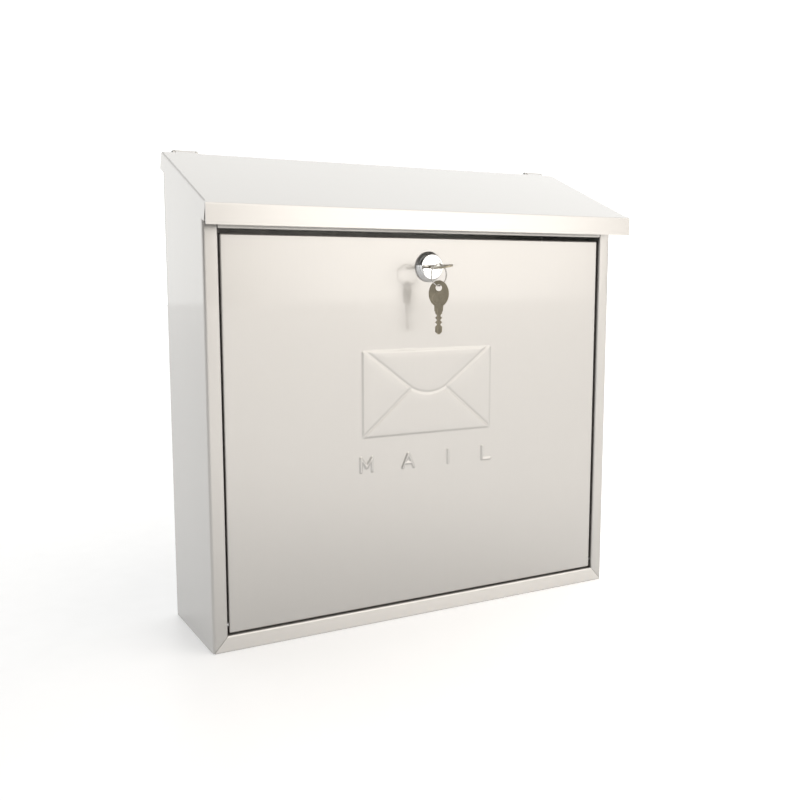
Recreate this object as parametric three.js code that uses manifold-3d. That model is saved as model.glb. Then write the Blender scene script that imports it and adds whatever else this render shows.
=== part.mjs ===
// Wall-mounted mailbox in folded stainless-steel sheet: an open-topped case, a sloping lid hinged at
// the wall, a bottom-hinged door with a cam lock, and two keys on a ring.
// Millimetres, +Z up, +Y towards the wall, -Y towards the street. The origin is the middle of the back
// panel's rear face.
import * as THREE from "three";
import { mergeVertices } from "three/addons/utils/BufferGeometryUtils.js";
import Module from "manifold-3d";

const wasm = await Module();
wasm.setup();

// ---------------------------------------------------------------- driving dimensions

const ORIGIN_Z = 186.5; // height of the origin above the underside of the case
const GAP = 0.3; // clearance between neighbouring pieces
const SHEET = 1.0; // sheet thickness

const CASE_W = 366.4;
const CASE_D = 96.8;
const CASE_BEND = 2.2; // outer radius of the case's front bends
const TIGHT_BEND = 1.2; // outer radius of the door's bends and the rails' lower ones
const STILE_W = 11.3; // width of the front frame's uprights
const RAIL_H = 12.3; // height of the front frame's bottom rail
const FRAME_RETURN = 10; // depth of the frame's inward return
const TOP_RAIL_Z = [309.8, 323];
const TOP_RAIL_RETURN = { upper: 16, lower: 19.8 };
const WALL_HOLES = { x: 140, z: [61.5, 326.5], r: 4 };

const LID_W = 373.4;
const LID_FRONT_Y = -117.7;
const LID_FOLD_Z = 325.7; // height of the fold between the roof and the front lip
const LIP_H = 14.5;
const LID_REAR_Y = -9;
const LID_SLOPE = THREE.MathUtils.degToRad(22.7);
const LID_FLANGE = 13.3; // depth of the lid's side flanges, square to the roof
const LID_BEND = 1.6;
const CASE_TO_LID = 3.2; // how far the case's sloping edges stay under the roof

const HINGE_ROD_R = 1.5;
const KNUCKLE_R = 2.6;
const KNUCKLE_BORE_R = 1.8;
const KNUCKLE_X = [159, 175]; // span of each lid knuckle, from the middle
const KNUCKLE_REACH = 4.6; // from the roof's rear edge to the hinge line, along the slope
const HINGE_DEPTH = 2.1; // from the roof's top down to the hinge line
const EAR_T = 1.5; // thickness of the hinge brackets' ears
const BRACKET_EDGE = 1; // how far the brackets' plates stand out past their ears
const BRACKET_DROP = 15; // from the hinge line down to the brackets' lower edge
const BACK_TO_HINGE = 6; // from the back panel's upper edge up to the hinge line

const DOOR_X = 170.3; // half width
const DOOR_Z = [13.6, 306.6];
const DOOR_RECESS = 1.5;
const DOOR_D = 12;
const DOOR_PIN_Z = 19.8;
const DOOR_PIN_BACK = 4.5; // behind the front frame's face
const DOOR_PIN_R = 1.5;
const DOOR_PIN_REACH = 3; // past the flange on one side and the stile's return on the other

const EMBLEM = { halfWidth: 60, low: 150.5, high: 219.5, line: 1.8 };
const EMBLEM_RISE = { edges: 0.9, creases: 0.75 };
const EMBLEM_FLAP_Z = 185.5; // lowest point of the envelope's flap
const EMBLEM_SIDE_RISE = 4; // how far above it the side creases meet the flap

const LOCK_Z = 283.7;
const BEZEL_R = 12;
const BEZEL_FACE_R = 9.4;
const BEZEL_RIM = 1.2; // height of the bezel's cylindrical foot
const BEZEL_PROUD = 5.5;
const BARREL_R = 9.2;
const BARREL_L = 17; // behind the door's face
const PLUG_FACE_R = 8.4;
const PLUG_FACE_FROM = 1.5; // in front of the door's face, where the plug's bore widens
const PLUG_R = 6.2;
const PLUG_L = 20.5; // behind the door's face
const NUT_FLATS = 24;
const NUT_L = 4;
const WASHER_R = 13;
const WASHER_L = 1;
const CAM = { length: 39, width: 14, thickness: 2 };
const CAM_SCREW = { r: 4, height: 2.4, shank: 2, length: 6.5 };

const KEY_TILT = THREE.MathUtils.degToRad(10); // the inserted key's turn from level
const KEY_T = 1.6;
const KEY_BOW = { halfWidth: 7.8, halfLength: 10.2 };
const KEY_HOLE_R = 2.5;
const KEY_HOLE_FROM_END = 5.7;
const KEY_NECK = { halfWidth: 3.4, length: 3.5 };
const KEY_BLADE = { halfWidth: 2.7, length: 17.5, notch: 0.9, pitch: 3.4, tip: 0.8, taper: 2 };
const KEY_BOW_MIDDLE = 20; // in front of the door's face, for the inserted key

const RING_R = 8.3;
const RING_WIRE_R = 0.55;
const RING_PLANE = THREE.MathUtils.degToRad(14.6); // the ring's turn about the vertical
const RING_CENTRE = { x: -5.6, front: 24.9, z: -6.3 }; // from the lock's axis and the door's face
const SPARE_TURN = THREE.MathUtils.degToRad(-39); // the spare key's turn about the vertical
const SPARE_HANG = 1.5; // from the ring's lowest wire down to the middle of the spare key's hole

const ROUND = 20; // sides of a small round piece
const FINE_ROUND = 32; // sides of the lock's round pieces
const RETURN_BEND = 1.3; // outer radius of the frame's inward bends
const BEYOND = 5; // how far a cutting solid reaches past what it cuts
const ARC = 4; // steps in a bend
const SHARPEST = 0.9; // bends tighter than this are left as corners

// ---------------------------------------------------------------- derived places

const HALF_W = CASE_W / 2;
const DOOR_FACE_Y = -CASE_D + DOOR_RECESS;
const DOOR_PIN_Y = -CASE_D + DOOR_PIN_BACK;
const DOOR_BACK_Y = DOOR_FACE_Y + DOOR_D;
const BACK_FRONT_Y = -SHEET - GAP; // where the side and bottom panels end, in front of the back panel

// A point given along the roof (from the front fold, up the slope) and square out of the roof's top.
function roofPoint(along, out) {
  const y = LID_FRONT_Y + along * Math.cos(LID_SLOPE) - out * Math.sin(LID_SLOPE);
  const z = LID_FOLD_Z + along * Math.sin(LID_SLOPE) + out * Math.cos(LID_SLOPE);
  return [y, z];
}
const ROOF_L = (LID_REAR_Y - LID_FRONT_Y) / Math.cos(LID_SLOPE);
const [HINGE_Y, HINGE_Z] = roofPoint(ROOF_L + KNUCKLE_REACH, -HINGE_DEPTH);
const BACK_TOP_Z = HINGE_Z - BACK_TO_HINGE;

// Height of a line parallel to the roof, at depth below its top.
function underRoof(y, below) {
  return LID_FOLD_Z + (y - LID_FRONT_Y) * Math.tan(LID_SLOPE) - below / Math.cos(LID_SLOPE);
}

// ---------------------------------------------------------------- finishes

function finish(color, roughness, metalness) {
  return new THREE.MeshStandardMaterial({ color, roughness, metalness });
}
const brushedSteel = finish(0xd9d6d0, 0.36, 1.0);
const plainSteel = finish(0xc9c8c5, 0.45, 1.0);
const chrome = finish(0xe6e8ea, 0.08, 1.0);
const zinc = finish(0xb9bab8, 0.5, 1.0);
const nickel = finish(0x8f897a, 0.35, 1.0);
const springSteel = finish(0x9b9892, 0.3, 1.0);

// ---------------------------------------------------------------- solids

// The geometry with only its positions, merged, as a solid that can be joined and cut.
function solid(geometry) {
  const bare = new THREE.BufferGeometry();
  bare.setAttribute("position", geometry.getAttribute("position"));
  bare.setIndex(geometry.index);
  const merged = mergeVertices(bare, 1e-4);
  return new wasm.Manifold(
    new wasm.Mesh({
      numProp: 3,
      vertProperties: new Float32Array(merged.attributes.position.array),
      triVerts: new Uint32Array(merged.index.array),
    }),
  );
}

function geometryOf(body) {
  const mesh = body.getMesh();
  const positions = new Float32Array(mesh.numVert * 3);
  for (let i = 0; i < mesh.numVert; i += 1) {
    positions.set(mesh.vertProperties.subarray(i * mesh.numProp, i * mesh.numProp + 3), i * 3);
  }
  const geometry = new THREE.BufferGeometry();
  geometry.setAttribute("position", new THREE.BufferAttribute(positions, 3));
  geometry.setIndex(new THREE.BufferAttribute(new Uint32Array(mesh.triVerts), 1));
  geometry.computeVertexNormals();
  return geometry;
}

// A box between two corners.
function block(x0, x1, y0, y1, z0, z1) {
  const geometry = new THREE.BoxGeometry(x1 - x0, y1 - y0, z1 - z0);
  geometry.translate((x0 + x1) / 2, (y0 + y1) / 2, (z0 + z1) / 2);
  return solid(geometry);
}

// Corners are kept to a ten-thousandth of a millimetre, so that faces meant to be flush are flush.
function outline(points) {
  const kept = (value) => Math.round(value * 1e4) / 1e4;
  return new THREE.Shape(points.map(([x, y]) => new THREE.Vector2(kept(x), kept(y))));
}

function extruded(shape, depth) {
  return new THREE.ExtrudeGeometry(shape, { depth, bevelEnabled: false, curveSegments: ROUND / 2 });
}

// An outline of [y, z] points, extruded along X from x0 to x1.
function alongX(points, x0, x1) {
  const geometry = extruded(outline(points), x1 - x0);
  const turn = new THREE.Matrix4().set(0, 0, 1, x0, 1, 0, 0, 0, 0, 1, 0, 0, 0, 0, 0, 1);
  return solid(geometry.applyMatrix4(turn));
}

// An outline of [x, y] points, extruded along Z from z0 to z1.
function alongZ(points, z0, z1) {
  const geometry = extruded(outline(points), z1 - z0);
  return solid(geometry.translate(0, 0, z0));
}

// A cylinder along X, Y or Z, centred at [x, y, z].
function rod(axis, radius, length, [x, y, z], sides = ROUND) {
  const geometry = new THREE.CylinderGeometry(radius, radius, length, sides);
  if (axis === "x") {
    geometry.rotateZ(Math.PI / 2);
  }
  if (axis === "z") {
    geometry.rotateX(Math.PI / 2);
  }
  return solid(geometry.translate(x, y, z));
}

// A solid turned from [radius, depth] points; depth runs along -Y, out of the door.
function turned(points) {
  const profile = points.map(([r, d]) => new THREE.Vector2(r, d));
  const geometry = new THREE.LatheGeometry(profile, FINE_ROUND);
  return solid(geometry.rotateX(Math.PI));
}

// The corner of a path, rounded: points on the arc that joins its two legs.
function roundedCorner(before, corner, after, radius) {
  const here = new THREE.Vector2(...corner);
  const back = new THREE.Vector2(...before).sub(here).normalize();
  const on = new THREE.Vector2(...after).sub(here).normalize();
  const half = Math.acos(THREE.MathUtils.clamp(back.dot(on), -1, 1)) / 2;
  const middle = back.clone().add(on).normalize().multiplyScalar(radius / Math.sin(half)).add(here);
  const start = here.clone().addScaledVector(back, radius / Math.tan(half)).sub(middle);
  const end = here.clone().addScaledVector(on, radius / Math.tan(half)).sub(middle);
  const sweep = Math.atan2(start.x * end.y - start.y * end.x, start.dot(end));
  const points = [];
  for (let i = 0; i <= ARC; i += 1) {
    const spoke = start.clone().rotateAround(new THREE.Vector2(), (sweep * i) / ARC);
    points.push([middle.x + spoke.x, middle.y + spoke.y]);
  }
  return points;
}

// The section of a folded sheet: the outer path with rounded bends, and the same path a sheet's
// thickness further in. All its bends turn the same way; side is +1 where they turn left, -1 right.
function foldedSection(path, bends, side) {
  const inner = path.map((_, i) => innerPoint(path, i, side));
  const rounded = (points, thinner) =>
    points.flatMap((point, i) => {
      const radius = bends[i - 1] - thinner;
      return i === 0 || i === points.length - 1 || radius < SHARPEST
        ? [point]
        : roundedCorner(points[i - 1], point, points[i + 1], radius);
    });
  return [...rounded(path, 0), ...rounded(inner, SHEET).reverse()];
}

// A path point moved a sheet's thickness to the given side, mitred where two legs meet.
function innerPoint(path, i, side) {
  const here = new THREE.Vector2(...path[i]);
  const normal = (a, b) => {
    const leg = new THREE.Vector2(...b).sub(new THREE.Vector2(...a)).normalize();
    return new THREE.Vector2(-leg.y, leg.x).multiplyScalar(side);
  };
  if (i === 0) {
    return here.addScaledVector(normal(path[0], path[1]), SHEET).toArray();
  }
  if (i === path.length - 1) {
    return here.addScaledVector(normal(path[i - 1], path[i]), SHEET).toArray();
  }
  const a = normal(path[i - 1], path[i]);
  const b = normal(path[i], path[i + 1]);
  const mitre = a.clone().add(b).normalize();
  return here.addScaledVector(mitre, SHEET / mitre.dot(a)).toArray();
}

// ---------------------------------------------------------------- the object

const mailbox = new THREE.Group();
const box = new THREE.Group();
box.position.z = -ORIGIN_Z;
mailbox.add(box);

// Adds a piece to a group as its own named mesh.
function add(group, name, body, material) {
  const mesh = new THREE.Mesh(body.isBufferGeometry ? body : geometryOf(body), material);
  mesh.name = name;
  group.add(mesh);
  return mesh;
}

// ---------------------------------------------------------------- case

function backPanel() {
  let panel = block(-HALF_W, HALF_W, -SHEET, 0, 0, BACK_TOP_Z);
  for (const x of [-WALL_HOLES.x, WALL_HOLES.x]) {
    for (const z of WALL_HOLES.z) {
      panel = panel.subtract(rod("y", WALL_HOLES.r, 4 * SHEET, [x, -SHEET / 2, z]));
    }
  }
  return panel;
}

const FRONT_SLICE = [-CASE_D - BEYOND, -CASE_D + FRAME_RETURN + 1]; // the frame's depth, with a margin
const MITRE_REACH = 40; // from the case's side to the mitre wedge's inner end

// The wedge under the mitre between a stile and the bottom rail, at both sides of the front.
function mitreWedge(shift) {
  const slope = RAIL_H / STILE_W;
  const low = -2 * BEYOND;
  const [front, back] = FRONT_SLICE;
  const inner = HALF_W - MITRE_REACH;
  const outer = HALF_W + BEYOND;
  const side = (sign) => {
    const points = [
      [sign * inner, low],
      [sign * outer, low],
      [sign * outer, -BEYOND * slope + shift],
      [sign * inner, MITRE_REACH * slope + shift],
    ];
    const geometry = extruded(outline(points), back - front);
    const stand = new THREE.Matrix4().set(1, 0, 0, 0, 0, 0, -1, back, 0, 1, 0, 0, 0, 0, 0, 1);
    return solid(geometry.applyMatrix4(stand));
  };
  return side(-1).add(side(1));
}

// Everything above a line parallel to the roof.
function aboveRoofLine(below) {
  const rear = 2 * BEYOND;
  const front = LID_FRONT_Y - 2 * BEYOND;
  const high = 2 * LID_FOLD_Z;
  const points = [
    [rear, underRoof(rear, below)],
    [rear, high],
    [front, high],
    [front, underRoof(front, below)],
  ];
  return alongX(points, -LID_W, LID_W);
}

function sidePanel(sign) {
  const path = [
    [sign * HALF_W, BACK_FRONT_Y],
    [sign * HALF_W, -CASE_D],
    [sign * (HALF_W - STILE_W), -CASE_D],
    [sign * (HALF_W - STILE_W), -CASE_D + FRAME_RETURN],
  ];
  const inner = sign * (HALF_W - STILE_W);
  const [low, high] = [0, inner + sign * GAP].sort((a, b) => a - b);
  const top = LID_FOLD_Z + 60;
  return alongZ(foldedSection(path, [CASE_BEND, RETURN_BEND], -sign), 0, top)
    .subtract(aboveRoofLine(SHEET + CASE_TO_LID))
    .subtract(mitreWedge(GAP / 2))
    .subtract(block(low, high, FRONT_SLICE[0], 0, TOP_RAIL_Z[0] - GAP, top))
    .subtract(rod("x", DOOR_PIN_R + GAP, 2 * DOOR_PIN_REACH, [inner, DOOR_PIN_Y, DOOR_PIN_Z]));
}

// The bottom, folded up into the front frame's rail, whose ends are mitred to the stiles.
function bottomPanel() {
  const path = [
    [BACK_FRONT_Y, 0],
    [-CASE_D, 0],
    [-CASE_D, RAIL_H],
    [-CASE_D + FRAME_RETURN, RAIL_H],
  ];
  const width = HALF_W - SHEET - GAP;
  const middle = HALF_W - MITRE_REACH;
  const whole = alongX(foldedSection(path, [TIGHT_BEND, RETURN_BEND], -1), -width, width);
  const front = block(-CASE_W, CASE_W, ...FRONT_SLICE, -BEYOND, RAIL_H + BEYOND);
  const between = block(-middle, middle, FRONT_SLICE[0], 0, -BEYOND, RAIL_H + BEYOND);
  const rail = whole.intersect(front).intersect(mitreWedge(-GAP / 2).add(between));
  return whole.subtract(front).add(rail);
}

function topRail() {
  const path = [
    [-CASE_D + TOP_RAIL_RETURN.lower, TOP_RAIL_Z[0]],
    [-CASE_D, TOP_RAIL_Z[0]],
    [-CASE_D, TOP_RAIL_Z[1]],
    [-CASE_D + TOP_RAIL_RETURN.upper, TOP_RAIL_Z[1]],
  ];
  const width = HALF_W - STILE_W;
  return alongX(foldedSection(path, [TIGHT_BEND, CASE_BEND], -1), -width, width);
}

// A bracket on the back panel whose two ears hold a hinge pin either side of a lid knuckle.
function hingeBracket(sign) {
  const low = HINGE_Z - BRACKET_DROP;
  const front = HINGE_Y - 0.95 * KNUCKLE_R;
  const inner = KNUCKLE_X[0] - GAP;
  const outer = KNUCKLE_X[1] + GAP;
  const plate = (x0, x1, y, z0, z1) => {
    const [from, to] = [sign * x0, sign * x1].sort((a, b) => a - b);
    return block(from, to, y, BACK_FRONT_Y, z0, z1);
  };
  const foot = EAR_T + BRACKET_EDGE;
  let bracket = plate(inner - foot, outer + foot, BACK_FRONT_Y - SHEET, low, BACK_TOP_Z);
  for (const x of [inner - EAR_T / 2, outer + EAR_T / 2]) {
    bracket = bracket
      .add(plate(x - EAR_T / 2, x + EAR_T / 2, front, low + BRACKET_EDGE, HINGE_Z))
      .add(rod("x", KNUCKLE_R, EAR_T, [sign * x, HINGE_Y, HINGE_Z]));
  }
  const middle = (sign * (inner + outer)) / 2;
  const boreLength = 2 * (outer - inner);
  return bracket.subtract(rod("x", KNUCKLE_BORE_R, boreLength, [middle, HINGE_Y, HINGE_Z]));
}

function hingePin(sign) {
  const middle = (KNUCKLE_X[0] + KNUCKLE_X[1]) / 2;
  const ends = EAR_T + GAP + 1;
  const length = KNUCKLE_X[1] - KNUCKLE_X[0] + 2 * ends;
  return rod("x", HINGE_ROD_R, length, [sign * middle, HINGE_Y, HINGE_Z]);
}

// ---------------------------------------------------------------- lid

// The lid is made in its own frame: the origin on the front fold, Y up the slope and Z square out of
// the roof. This turns an upright [y, z] offset from the fold into that frame.
function onSlope([y, z]) {
  const c = Math.cos(LID_SLOPE);
  const s = Math.sin(LID_SLOPE);
  return [y * c + z * s, z * c - y * s];
}

// Everything in front of an upright plane that far behind the fold.
function frontOf(behind) {
  const half = LID_W / 2 + 1;
  const corners = [
    [-LIP_H, -2 * LIP_H],
    [behind, -2 * LIP_H],
    [behind, LIP_H],
    [-LIP_H, LIP_H],
  ];
  return alongX(corners.map(onSlope), -half, half);
}

// The roof with its two side flanges, then the front strip with the lip, in three lengths that
// overlap the roof, and a knuckle near each rear corner.
function lid() {
  const half = LID_W / 2;
  const corner = half - 20;
  const lipPath = [[ROOF_L, 0], [0, 0], onSlope([0, -LIP_H])];
  const lipSection = foldedSection(lipPath, [LID_BEND], 1);
  const flangeFrom = SHEET + 2 * GAP;
  const channelPath = [
    [-half, -LID_FLANGE],
    [-half, 0],
    [half, 0],
    [half, -LID_FLANGE],
  ];
  const channel = extruded(outline(foldedSection(channelPath, [LID_BEND, LID_BEND], -1)), ROOF_L);
  channel.rotateX(Math.PI / 2).translate(0, ROOF_L, 0);
  let body = solid(channel).subtract(frontOf(flangeFrom));
  for (const [from, to] of [[-half, -corner], [-corner, corner], [corner, half]]) {
    body = body.add(alongX(lipSection, from, to).intersect(frontOf(2 * flangeFrom)));
  }
  for (const sign of [-1, 1]) {
    const [from, to] = KNUCKLE_X.map((x) => sign * x).sort((a, b) => a - b);
    const middle = (from + to) / 2;
    const pivot = [middle, ROOF_L + KNUCKLE_REACH, -HINGE_DEPTH];
    body = body
      .add(block(from, to, ROOF_L - 1, ROOF_L + KNUCKLE_REACH, -SHEET, 0))
      .add(rod("x", KNUCKLE_R, to - from, pivot))
      .subtract(rod("x", KNUCKLE_BORE_R, to - from + 2, pivot));
  }
  return body;
}

// ---------------------------------------------------------------- door

// A block with its front edges rounded: the intersection of two rounded outlines.
function roundedFront(halfWidth, low, high, face, back, radius) {
  const side = [
    [back, low],
    ...roundedCorner([back, low], [face, low], [face, high], radius),
    ...roundedCorner([face, low], [face, high], [back, high], radius),
    [back, high],
  ];
  const plan = [
    [-halfWidth, back],
    ...roundedCorner([-halfWidth, back], [-halfWidth, face], [halfWidth, face], radius),
    ...roundedCorner([-halfWidth, face], [halfWidth, face], [halfWidth, back], radius),
    [halfWidth, back],
  ];
  return alongX(side, -halfWidth, halfWidth).intersect(alongZ(plan, low, high));
}

// A straight raised line on the door's face between two [x, z] points, or a bit beyond them.
function ridge([x0, z0], [x1, z1], rise, beyond) {
  const length = Math.hypot(x1 - x0, z1 - z0) + 2 * beyond;
  const geometry = new THREE.BoxGeometry(length, rise + SHEET / 2, EMBLEM.line);
  geometry.rotateY(-Math.atan2(z1 - z0, x1 - x0));
  const y = DOOR_FACE_Y - (rise - SHEET / 2) / 2;
  return solid(geometry.translate((x0 + x1) / 2, y, (z0 + z1) / 2));
}

// An envelope in raised lines: its outline, its flap and the two side creases under it.
function envelope() {
  const { halfWidth, low, high } = EMBLEM;
  const corners = [
    [-halfWidth, low],
    [halfWidth, low],
    [halfWidth, high],
    [-halfWidth, high],
  ];
  const flap = [0, EMBLEM_FLAP_Z];
  const creases = [
    [corners[3], flap],
    [corners[2], flap],
    [corners[0], [-halfWidth / 4, EMBLEM_FLAP_Z + EMBLEM_SIDE_RISE]],
    [corners[1], [halfWidth / 4, EMBLEM_FLAP_Z + EMBLEM_SIDE_RISE]],
  ];
  const edges = corners.map((corner, i) => [corner, corners[(i + 1) % corners.length]]);
  return [
    ...edges.map(([a, b]) => ridge(a, b, EMBLEM_RISE.edges, EMBLEM.line / 2)),
    ...creases.map(([a, b]) => ridge(a, b, EMBLEM_RISE.creases, 0)),
  ].reduce((a, b) => a.add(b));
}

// A shallow pan, open at the back, with the holes for its lock and its two pins.
function door() {
  const [low, high] = DOOR_Z;
  const outer = roundedFront(DOOR_X, low, high, DOOR_FACE_Y, DOOR_BACK_Y, TIGHT_BEND);
  const inner = DOOR_X - SHEET;
  const hollowDepth = [DOOR_FACE_Y + SHEET, DOOR_BACK_Y + BEYOND];
  const hollow = block(-inner, inner, ...hollowDepth, low + SHEET, high - SHEET);
  let pan = outer.subtract(hollow).add(envelope());
  pan = pan.subtract(rod("y", BARREL_R + GAP, 2 * BEYOND, [0, DOOR_FACE_Y, LOCK_Z], FINE_ROUND));
  for (const x of [-DOOR_X, DOOR_X]) {
    pan = pan.subtract(rod("x", DOOR_PIN_R + GAP, 2 * DOOR_PIN_REACH, [x, DOOR_PIN_Y, DOOR_PIN_Z]));
  }
  return pan;
}

// A plain pin through the door's flange into the stile's return.
function doorPin(sign) {
  const from = DOOR_X - SHEET - DOOR_PIN_REACH;
  const to = HALF_W - STILE_W + DOOR_PIN_REACH;
  return rod("x", DOOR_PIN_R, to - from, [(sign * (from + to)) / 2, DOOR_PIN_Y, DOOR_PIN_Z]);
}

// ---------------------------------------------------------------- lock

// The barrel with its conical bezel, bored for the plug.
function lockBody() {
  const bore = PLUG_R + GAP;
  const recess = PLUG_FACE_R + GAP;
  return turned([
    [bore, -BARREL_L],
    [BARREL_R, -BARREL_L],
    [BARREL_R, GAP],
    [BEZEL_R, GAP],
    [BEZEL_R, BEZEL_RIM],
    [BEZEL_FACE_R, BEZEL_PROUD],
    [recess, BEZEL_PROUD],
    [recess, PLUG_FACE_FROM],
    [bore, PLUG_FACE_FROM],
    [bore, -BARREL_L],
  ]);
}

// A plate round the barrel, its front face that far behind the door's face.
function ringPlate(outer, behind, thickness, sides) {
  const middle = [0, behind + thickness / 2, 0];
  const hole = rod("y", BARREL_R + GAP, 2 * thickness, middle, FINE_ROUND);
  return rod("y", outer, thickness, middle, sides).subtract(hole);
}

const KEYWAY = { halfWidth: KEY_BLADE.halfWidth + GAP, halfHeight: KEY_T / 2 + GAP };
const PLUG_FACE = BEZEL_PROUD - GAP;

function lockPlug() {
  const plug = turned([
    [0, -PLUG_L],
    [PLUG_R, -PLUG_L],
    [PLUG_R, PLUG_FACE_FROM + GAP],
    [PLUG_FACE_R, PLUG_FACE_FROM + GAP],
    [PLUG_FACE_R, PLUG_FACE],
    [0, PLUG_FACE],
  ]);
  const { halfWidth, halfHeight } = KEYWAY;
  const keywayEnd = KEY_BLADE.length + KEY_NECK.length + KEY_BOW.halfLength - KEY_BOW_MIDDLE + 1;
  const keyway = block(-halfWidth, halfWidth, -PLUG_FACE - 1, keywayEnd, -halfHeight, halfHeight);
  return plug.subtract(keyway).subtract(rod("y", CAM_SCREW.shank + GAP, 8, [0, PLUG_L, 0]));
}

const CAM_FRONT = PLUG_L + GAP; // behind the door's face

function lockCam() {
  const half = CAM.width / 2;
  const tip = CAM.length - half;
  const round = rod("y", half, CAM.thickness, [0, CAM_FRONT + CAM.thickness / 2, 0], 24);
  return block(0, tip, CAM_FRONT, CAM_FRONT + CAM.thickness, -half, half)
    .add(round)
    .subtract(rod("y", CAM_SCREW.shank + GAP, 2 * BEYOND, [0, CAM_FRONT, 0]));
}

function camScrew() {
  const head = CAM_FRONT + CAM.thickness + GAP;
  const shankMiddle = head + 1 - CAM_SCREW.length / 2;
  const shank = rod("y", CAM_SCREW.shank, CAM_SCREW.length, [0, shankMiddle, 0]);
  return rod("y", CAM_SCREW.r, CAM_SCREW.height, [0, head + CAM_SCREW.height / 2, 0]).add(shank);
}

// ---------------------------------------------------------------- keys

// The right-hand edge of a key's blade, from its neck to its tip, with a row of notches.
function bladeEdge(neckEnd) {
  const { halfWidth, length, notch, pitch, tip, taper } = KEY_BLADE;
  const floor = halfWidth - notch;
  const notches = Math.floor((length - 2 * taper) / pitch);
  const edge = [[halfWidth, neckEnd + 1]];
  const first = 1.5; // from the neck to the first notch
  for (let i = 0; i < notches; i += 1) {
    const y = neckEnd - first - i * pitch;
    edge.push([halfWidth, y], [floor, y - 0.35 * pitch], [floor, y - 0.6 * pitch]);
    edge.push([halfWidth, y - 0.95 * pitch]);
  }
  edge.push([halfWidth, neckEnd - length + taper], [tip, neckEnd - length]);
  return edge;
}

// A flat key, level, with its bow's middle at the origin and its bow's end towards +Y.
function key() {
  const { halfWidth, halfLength } = KEY_BOW;
  const bow = new THREE.Shape().absellipse(0, 0, halfWidth, halfLength, 0, 2 * Math.PI);
  const neckEnd = -halfLength - KEY_NECK.length;
  const right = bladeEdge(neckEnd);
  const left = right.map(([x, y]) => [-x, y]).reverse();
  const plate = (shape) => solid(extruded(shape, KEY_T).translate(0, 0, -KEY_T / 2));
  const neck = KEY_NECK.halfWidth;
  return plate(bow)
    .add(block(-neck, neck, neckEnd, -halfLength + 3, -KEY_T / 2, KEY_T / 2))
    .add(plate(outline([...right, ...left])))
    .subtract(rod("z", KEY_HOLE_R, 2 * KEY_T, [0, halfLength - KEY_HOLE_FROM_END, 0]));
}

// ---------------------------------------------------------------- assembly

add(box, "back_panel", backPanel(), plainSteel);
add(box, "bottom_panel", bottomPanel(), brushedSteel);
add(box, "top_rail", topRail(), brushedSteel);
const roof = add(box, "lid", lid(), brushedSteel);
roof.position.set(0, LID_FRONT_Y, LID_FOLD_Z);
roof.rotation.x = LID_SLOPE;
add(box, "door", door(), brushedSteel);
for (const [side, sign] of [["left", -1], ["right", 1]]) {
  add(box, `${side}_side_panel`, sidePanel(sign), brushedSteel);
  add(box, `${side}_hinge_bracket`, hingeBracket(sign), plainSteel);
  add(box, `${side}_hinge_pin`, hingePin(sign), zinc);
  add(box, `${side}_door_pin`, doorPin(sign), zinc);
}

// The lock's own frame: on its axis at the door's face.
const lock = new THREE.Group();
lock.position.set(0, DOOR_FACE_Y, LOCK_Z);
box.add(lock);
const washerFront = SHEET + GAP;
const nutFront = washerFront + WASHER_L + GAP;
add(lock, "lock_body", lockBody(), chrome);
add(lock, "lock_washer", ringPlate(WASHER_R, washerFront, WASHER_L, FINE_ROUND), zinc);
add(lock, "lock_nut", ringPlate(NUT_FLATS / Math.sqrt(3), nutFront, NUT_L, 6), zinc);

const core = new THREE.Group();
core.rotation.y = -KEY_TILT;
lock.add(core);
add(core, "lock_plug", lockPlug(), chrome);
add(core, "lock_cam", lockCam(), zinc);
add(core, "cam_screw", camScrew(), zinc);
const doorKey = add(core, "door_key", key(), nickel);
doorKey.rotation.x = Math.PI;
doorKey.position.y = -KEY_BOW_MIDDLE;

const hanging = new THREE.Group();
hanging.position.set(RING_CENTRE.x, -RING_CENTRE.front, RING_CENTRE.z);
lock.add(hanging);
const wire = new THREE.TorusGeometry(RING_R, RING_WIRE_R, 8, 40);
const ring = add(hanging, "key_ring", wire, springSteel);
ring.rotation.order = "ZYX";
ring.rotation.x = Math.PI / 2;
ring.rotation.z = RING_PLANE;
const spare = add(hanging, "spare_key", key(), nickel);
spare.rotation.order = "ZYX";
spare.rotation.x = Math.PI / 2;
spare.rotation.z = SPARE_TURN;
spare.position.z = -RING_R - SPARE_HANG - (KEY_BOW.halfLength - KEY_HOLE_FROM_END);

export default mailbox;
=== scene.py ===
"""The looks of a wall-mounted steel mailbox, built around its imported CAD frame.

Lengths are in millimetres unless a comment says otherwise, and MM turns them into scene units.
The frame has +Z up, -Y towards the street and +Y towards the wall.
"""

import math

import bmesh
import bpy
import numpy as np
from mathutils import Matrix, Vector


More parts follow.
